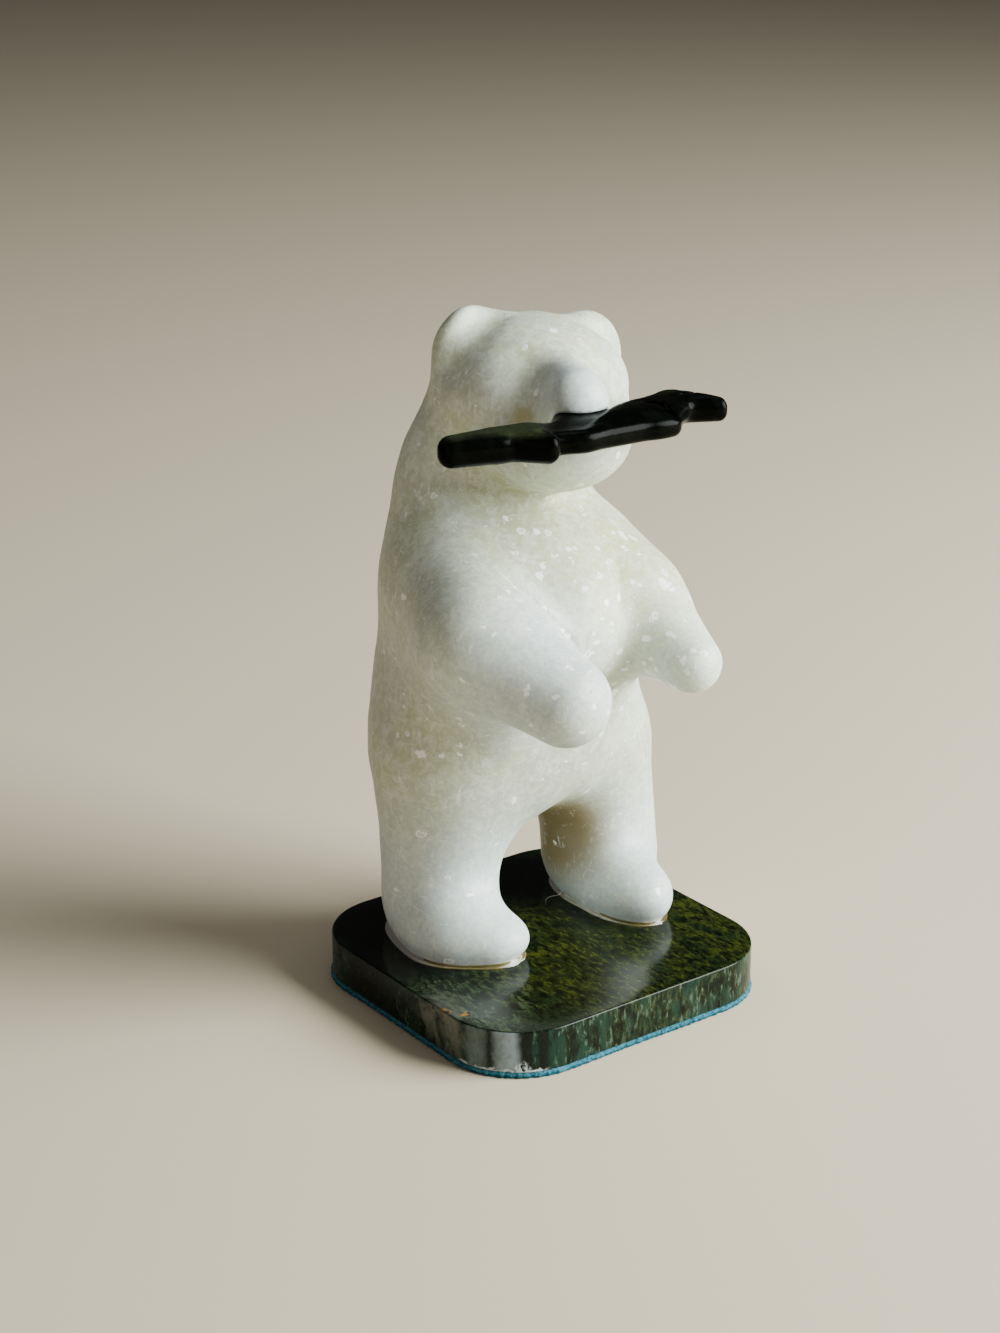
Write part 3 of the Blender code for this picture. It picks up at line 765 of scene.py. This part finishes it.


# %% [markdown]
# ### Marble
#
# Coarse calcite marble is a mass of crystals a millimetre or three across. Most are a soft even
# white, and now and then one is cut along its flat cleavage and shows as a bright block. The
# block's brightness is painted into the colour: the crystal's own white with a painted glint.

# %% White marble
def spot(f, centre, radius, soft, place=None):
    """One inside a ball about a point of the piece, in millimetres, and nothing outside it."""
    point = tuple(v * MM for v in centre)
    values = {0: place or f.place, 1: point}
    far = f.vector("DISTANCE", values, "Value")
    return 1.0 - far.step(radius * MM, (radius + soft) * MM)


def column(f, centre, radius, soft):
    """One inside an upright column, in millimetres: the distance with the height taken out."""
    flattened = {"Vector": f.warped(300.0, 0.0008), "Scale": (1.0, 1.0, 0.0)}
    return spot(f, (*centre, 0.0), radius, soft, f.node("ShaderNodeMapping", {}, flattened))


def scratch(f, path, radius, soft):
    """One along a line through points of the bear: the distance to the nearest of its straight runs."""
    marks = [tuple(v * MM for v in np.array(point) + BEAR_PLACE) for point in path]
    nearest = None
    for start, end in zip(marks, marks[1:]):
        run = tuple(b - a for a, b in zip(start, end))
        gap = f.vector("SUBTRACT", {0: f.place, 1: start})
        share = f.vector("DOT_PRODUCT", {0: gap, 1: run}, "Value")
        share = (share * (1.0 / sum(v * v for v in run))).step(0.0, 1.0, "LINEAR")
        along_run = f.vector("SCALE", {0: run, "Scale": share})
        far = f.vector("DISTANCE", {0: gap, 1: along_run}, "Value")
        here = 1.0 - far.step(radius * MM, (radius + soft) * MM)
        nearest = here if nearest is None else nearest | here
    return nearest


def crystals(f, scale, turn, stretch, keep, place):
    """Cleaved crystals: cells of which only the luckiest are kept, some of them as a bright rim."""
    place = f.node("ShaderNodeMapping", {}, {"Vector": place, "Rotation": turn, "Scale": stretch})
    values = {"Vector": place, "Scale": scale, "Randomness": 0.95}
    far = f.node("ShaderNodeTexVoronoi", {"feature": "F1"}, values, "Distance")
    luck = f.node("ShaderNodeTexVoronoi", {"feature": "F1"}, values, "Color")
    red = f.node("ShaderNodeSeparateColor", {}, {"Color": luck}, "Red")
    green = f.node("ShaderNodeSeparateColor", {}, {"Color": luck}, "Green")
    blue = f.node("ShaderNodeSeparateColor", {}, {"Color": luck}, "Blue")
    size = 0.14 + 0.2 * green
    body = 1.0 - (far - size).step(-0.04, 0.02)
    heart = (1.0 - (far - size).step(-0.14, -0.07)) * (blue > 0.55)
    return (red > keep) * (body - 0.7 * heart)


marble = Finish(
    "carved_marble",
    Roughness=0.36,
    Subsurface_Weight=0.3,
    Subsurface_Radius=(1.0, 0.85, 0.6),
    Subsurface_Scale=0.0025,
    IOR=1.5,
)
ragged_place = marble.warped(900.0, 0.0008)
cloud = marble.noise(42.0, 4.0, rough=0.6)
patch = marble.noise(170.0, 5.0, rough=0.65, warp=0.5)
mottle = marble.noise(420.0, 6.0, rough=0.72, warp=0.6)
grain = marble.noise(1200.0, 4.0, rough=0.7)
upright_grain = marble.moved((0.4, 0.9, 0.2), (1.0, 1.0, 0.3))
lying_grain = marble.moved((1.2, 0.2, 1.3), (1.0, 0.3, 1.0))
strokes = marble.noise(700.0, 4.0, upright_grain, 0.7, 0.6).step(0.56, 0.68)
strokes = strokes | marble.noise(640.0, 4.0, lying_grain, 0.7, 0.6).step(0.58, 0.7)
front = spot(marble, (6.0, -16.0, 88.0), 16.0, 22.0) | spot(marble, (22.0, -22.0, 82.0), 12.0, 14.0)
keep = 0.955 - front * 0.33
flecks_and_glints = (
    crystals(marble, 250.0, (0.5, 0.3, 0.8), (1.0, 1.0, 0.5), keep, ragged_place)
    | crystals(marble, 330.0, (1.2, 0.9, 0.1), (1.0, 0.5, 1.0), keep + 0.02, ragged_place)
    | crystals(marble, 480.0, (0.2, 1.4, 0.6), (0.6, 1.0, 1.0), keep, ragged_place)
)

# %% [markdown]
# The colours go on from the broadest to the finest: the stone's own clouds, the cooler white of
# the legs, arms and nose, partly painted light, painted light on the far arm, a painted glow of
# light at the neck, painted warm shade in the hollows, painted shade with a brown stain between the
# legs, then grain, crystals with a painted glint, the few small marks, and painted shade along two
# creases.

# %% The marble's colours
# Painted shade: hollow is how deep in a hollow a point lies, and it paints the hollows darker and warmer.
hollow = marble.stored("shelter").step(0.25, 0.9)
# Painted light: a yellow-green glow, as of light through the stone, at the side of the neck.
painted_green_glow = spot(marble, (14.0, -8.0, 98.0), 5.0, 26.0)
white = marble.mix(cloud.step(0.35, 0.65), (0.46, 0.51, 0.32), (0.51, 0.58, 0.48))
white = marble.mix(patch.step(0.40, 0.62) * 0.5, white, (0.41, 0.43, 0.35))
# Cooler, paler white on the legs, the near forearm and the nose: partly the stone's own tone and partly
# painted light where these faces turn to the lamps.
cool_and_lit = spot(marble, (-18.0, 8.0, 14.0), 14.0, 30.0) | spot(marble, (24.0, 4.0, 12.0), 12.0, 30.0)
cool_and_lit = cool_and_lit | spot(marble, (-14.0, -20.0, 80.0), 9.0, 20.0) | spot(marble, (0.0, -12.0, 136.0), 5.0, 10.0)
white = marble.mix(cool_and_lit * 0.85, white, (0.53, 0.62, 0.66))
# Painted light: the far arm, which faces the window lamp, is painted paler.
painted_far_arm_light = spot(marble, (20.0, -22.0, 80.0), 9.0, 14.0)
white = marble.mix(painted_far_arm_light * 0.6, white, (0.70, 0.80, 0.72))
white = marble.mix(painted_green_glow * 0.55, white, (0.60, 0.61, 0.28))
# Painted warm shade in the hollows.
white = marble.mix(hollow * 0.4, white, (0.38, 0.34, 0.18))
white = marble.mix(mottle.step(0.42, 0.60) * 0.5, white, (0.72, 0.77, 0.69))
white = marble.mix(grain.step(0.42, 0.62) * 0.28, white, (0.34, 0.36, 0.29))
# On the inner far leg: painted shade between the legs, in the brown of a stain there.
white = marble.mix(spot(marble, (11.0, 14.0, 30.0), 9.0, 12.0) * 0.9, white, (0.20, 0.14, 0.04))
white = marble.mix(strokes * patch.step(0.40, 0.62) * 0.6, white, (0.86, 0.91, 0.87))
# Painted glint: the kept crystals go to pure white, for the shine of their cleavage faces as well as their
# own white.
white = marble.mix(flecks_and_glints * 0.9, white, (1.0, 1.0, 1.0))
stain = spot(marble, (-6.8, -1.5, 131.6), 0.8, 3.4, ragged_place)
white = marble.mix(stain * 0.6, white, (0.38, 0.31, 0.08))
nick = spot(marble, (-3.7, -5.4, 140.4), 0.15, 0.5, ragged_place)
pit = spot(marble, (-14.1, -34.3, 82.5), 0.2, 0.35, ragged_place)
white = marble.mix((nick | pit) * 0.85, white, (0.10, 0.07, 0.05))
# Painted shade: thin dark lines along the arm's crease and the far ear's crease.
painted_crease_shade = scratch(marble, ARM_CUT, 0.12, 0.3) | scratch(marble, EAR_CUT, 0.1, 0.35)
white = marble.mix(painted_crease_shade * 0.5, white, (0.16, 0.17, 0.09))
marble.feed(Base_Color=white, Roughness=0.42 - 0.22 * flecks_and_glints + 0.1 * mottle)
marble.bump(grain * 0.6 + mottle + strokes * 0.5 + flecks_and_glints, 0.00003)
marble.on(bear)

# %% [markdown]
# ### Jade, serpentine, felt and resin
#
# The jade is close to black and glossy, and a paler, rougher green grey on parts of its upper side.

# %% Black jade
jade = Finish("polished_jade", Roughness=0.2, IOR=1.3, Specular_IOR_Level=0.06)
speck = jade.noise(1100.0, 4.0, rough=0.7)
veil = jade.noise(240.0, 4.0, rough=0.6)
# A paler, rougher green grey on the bands of the upper side that the mesh keeps.
pale_share = jade.stored("pale_band") * (0.35 + 0.65 * veil.step(0.3, 0.6))
black = jade.mix(veil.step(0.45, 0.75), (0.0006, 0.0009, 0.0006), (0.002, 0.003, 0.0018))
black = jade.mix(pale_share * (0.5 + 0.5 * speck.step(0.35, 0.7)), black, (0.022, 0.028, 0.013))
jade.feed(Base_Color=black, Roughness=0.16 + 0.4 * pale_share + 0.08 * speck)
jade.bump(speck + veil * 2.0, 0.00003)
jade.on(fish)

# %% [markdown]
# The serpentine is foliated: its layers stand upright and run from front to back, so the pattern
# is stretched along Y and Z. The top and the right side then show streaks, and the left side,
# which lies along the layers, shows blotches. Over the streaks lie broad zones: black behind the
# right foot, olive in the middle, grey green at the front corner with two blocks of pale quartz.

# %% Green serpentine
serpentine = Finish("dark_serpentine", Roughness=0.12, IOR=1.4, Specular_IOR_Level=0.2)
layers = serpentine.moved((0.12, -0.1, 0.14), (1.0, 0.45, 0.38))
drift = serpentine.warped(120.0, 0.006)
streak = serpentine.noise(900.0, 5.0, layers, 0.62, 0.4)
flake = serpentine.noise(1900.0, 4.0, layers, 0.7)
blotch = serpentine.noise(230.0, 6.0, layers, 0.66, 0.8)
facing = serpentine.node("ShaderNodeNewGeometry", {}, {}, "Normal")
upright = serpentine.node("ShaderNodeSeparateXYZ", {}, {"Vector": facing}, "Z")
sawn = 1.0 - upright.step(0.4, 0.8)


def zone(centre, radius, soft):
    """A patch of the plinth, in millimetres, with a drifting edge."""
    return spot(serpentine, centre, radius, soft, drift)


# Near black on the top and left side behind the right foot, and at the back.
black_zone = zone((-31.0, 10.0, 11.0), 7.0, 14.0) | zone((-8.0, 34.0, 11.0), 16.0, 12.0)
olive = zone((4.0, -14.0, 11.0), 20.0, 16.0) | zone((34.0, -20.0, 8.0), 14.0, 12.0)
ashen = zone((-33.0, -17.0, 9.0), 9.0, 12.0)
mottled = streak.step(0.38, 0.66) * (0.3 + 0.7 * flake.step(0.35, 0.65))
rock = serpentine.mix(mottled, (0.001, 0.0024, 0.0012), (0.008, 0.022, 0.007))
rock = serpentine.mix(olive * mottled * blotch.step(0.3, 0.56), rock, (0.038, 0.042, 0.004))
rock = serpentine.mix(ashen * blotch.step(0.36, 0.6) * mottled, rock, (0.045, 0.07, 0.035))
rock = serpentine.mix(sawn * blotch.step(0.42, 0.62) * 0.7, rock, (0.009, 0.031, 0.020))
rock = serpentine.mix(sawn * streak.step(0.55, 0.66) * 0.6, rock, (0.07, 0.105, 0.085))
rock = serpentine.mix(black_zone * 0.93, rock, (0.0012, 0.0016, 0.0014))

# %% [markdown]
# The front corner has marks of its own: dark veins that stand upright, two blocks of pale quartz
# between them, rust, small holes, and a white bruise where the bottom edge was knocked.

# %% Veins, quartz, rust and bruise
vein = column(serpentine, (-31.3, -35.1), 1.3, 0.9) | column(serpentine, (-27.6, -36.7), 0.5, 0.8)
vein = (vein | column(serpentine, (-36.3, -29.6), 0.3, 0.7)) * sawn
rock = serpentine.mix(vein * 0.9, rock, (0.003, 0.006, 0.004))
blocks = column(serpentine, (-34.3, -32.4), 1.5, 2.2), column(serpentine, (-37.6, -26.8), 1.2, 2.2)
quartz = (blocks[0] | (blocks[1] * 0.4)) * sawn
rock = serpentine.mix(quartz * (0.45 + 0.5 * blotch.step(0.3, 0.6)), rock, (0.22, 0.27, 0.28))
rosy = zone((-39.2, -16.0, 7.5), 4.0, 6.0) * blotch.step(0.35, 0.6) * (0.35 + 0.65 * sawn)
rock = serpentine.mix(rosy * 0.7, rock, (0.14, 0.145, 0.115))
rust = zone((-39.0, -14.8, 10.0), 0.9, 1.2) | (zone((-35.6, -19.8, 10.9), 0.5, 0.9) * 0.8)
rock = serpentine.mix(rust * 0.9, rock, (0.30, 0.12, 0.015))
spots = [(-38.6, -18.0, 10.6), (-39.2, -10.4, 4.3), (-35.4, -21.0, 10.9), (-39.2, -13.5, 10.2)]
holes = spot(serpentine, spots[0], 0.25, 0.4)
for place in spots[1:]:
    holes = holes | spot(serpentine, place, 0.25, 0.4)
rock = serpentine.mix(holes, rock, (0.004, 0.003, 0.002))
bruise = spot(serpentine, (-35.0, -31.5, 0.4), 8.0, 3.0)
low = serpentine.node("ShaderNodeSeparateXYZ", {}, {"Vector": serpentine.warped(500.0, 0.0014)}, "Z")
spike = spot(serpentine, (-31.6, -35.0, 2.0), 0.9, 1.5, serpentine.warped(1100.0, 0.0016))
bruised = (bruise * (1.0 - low.step(0.0017, 0.0021))) | (spike * flake.step(0.46, 0.52))
bruised = bruised * flake.step(0.25, 0.45)
rock = serpentine.mix(bruised * 0.9, rock, (0.42, 0.47, 0.46))
serpentine.feed(Base_Color=rock, Roughness=0.09 + 0.08 * flake + 0.14 * sawn + 0.5 * bruised)
serpentine.bump(streak + flake * (0.4 + 1.2 * sawn) + 3.0 * bruised, 0.00002)
serpentine.on(plinth)

# %% Turquoise felt
wool = Finish("wool_felt", Roughness=0.95, IOR=1.2, Sheen_Weight=0.05)
mat = wool.noise(1500.0, 4.0, rough=0.7)
tuft = wool.noise(420.0, 3.0, rough=0.6)
upper = wool.node("ShaderNodeSeparateXYZ", {}, {"Vector": wool.warped(700.0, 0.0006)}, "Z")
upper = upper.step(0.0005, 0.0009)
teal = wool.mix(mat.step(0.3, 0.7), (0.0005, 0.032, 0.055), (0.002, 0.085, 0.125))
teal = wool.mix(upper * 0.3 * mat.step(0.3, 0.6) | tuft.step(0.56, 0.7) * 0.4, teal, (0.12, 0.36, 0.44))
wool.feed(Base_Color=teal)
wool.bump(mat, 0.0002)
wool.on(felt, felt_fluff)

# %% Set resin, and the hair
AMBER = (0.34, 0.26, 0.05, 1.0)
resin = Finish("set_resin", Roughness=0.05, IOR=1.5, Base_Color=AMBER, Transmission_Weight=0.8)
resin.bump(resin.noise(500.0, 2.0), 0.00003)
resin.on(glue_right, glue_left)
pale = Finish("pale_hair", Roughness=0.4)
pale.feed(Base_Color=pale.mix(pale.noise(600.0, 2.0), (0.70, 0.70, 0.66), (0.85, 0.85, 0.82)))
pale.on(hair)

# %% [markdown]
# ## Put together and lit
#
# Each piece rides on the one rigid body and stands for its solid, which is hidden.

# %% Ride and replace
for piece, node, slot in (
    (bear, "bear", "white_marble"),
    (fish, "fish", "black_jade"),
    (plinth, "plinth", "green_serpentine"),
    (felt, "felt_pad", "turquoise_felt"),
):
    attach(piece, "root")
    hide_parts(node)
for trim in (felt_fluff, glue_right, glue_left, hair):
    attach(trim, "root")

# %% Camera, floor and light
camera_data = bpy.data.cameras.new("camera")
camera_data.lens, camera_data.sensor_width, camera_data.sensor_fit = 70.77, 36.0, "AUTO"
camera = bpy.data.objects.new("camera", camera_data)
camera.location = (-0.3258, -0.4195, 0.2725)
camera.rotation_euler = (np.radians(69.58), 0.0, np.radians(-36.85))
bpy.context.scene.collection.objects.link(camera)
bpy.context.scene.camera = camera

world = bpy.data.worlds.new("studio")
world.use_nodes = True
world.node_tree.nodes["Background"].inputs["Color"].default_value = (1.0, 0.95, 0.92, 1.0)
world.node_tree.nodes["Background"].inputs["Strength"].default_value = 0.065
bpy.context.scene.world = world


def soft_lamp(name, place, target, size, watts, colour):
    """A round soft lamp that faces its target."""
    lamp_data = bpy.data.lights.new(name, "AREA")
    lamp_data.shape, lamp_data.size, lamp_data.energy, lamp_data.color = "DISK", size, watts, colour
    lamp = bpy.data.objects.new(name, lamp_data)
    lamp.location = place
    lamp.rotation_euler = (Vector(target) - Vector(place)).to_track_quat("-Z", "Y").to_euler()
    bpy.context.scene.collection.objects.link(lamp)


soft_lamp("window", (0.66, -0.72, 0.50), (0.0, 0.0, 0.08), 0.85, 55.0, (0.96, 1.0, 0.97))
soft_lamp("sky", (0.2, 0.1, 1.2), (0.0, 0.0, 0.0), 0.7, 2.4, (0.95, 0.98, 1.0))
soft_lamp("fill", (-0.9, -0.3, 0.35), (0.0, 0.0, 0.08), 0.8, 1.7, (1.0, 0.87, 0.80))

paper = Finish("pale_paper", Roughness=0.9, Base_Color=(0.55, 0.48, 0.35, 1.0))
floor = mesh_piece("floor", [(-4, -4, 0), (4, -4, 0), (4, 4, 0), (-4, 4, 0)], [(0, 1, 2, 3)])
paper.on(floor)
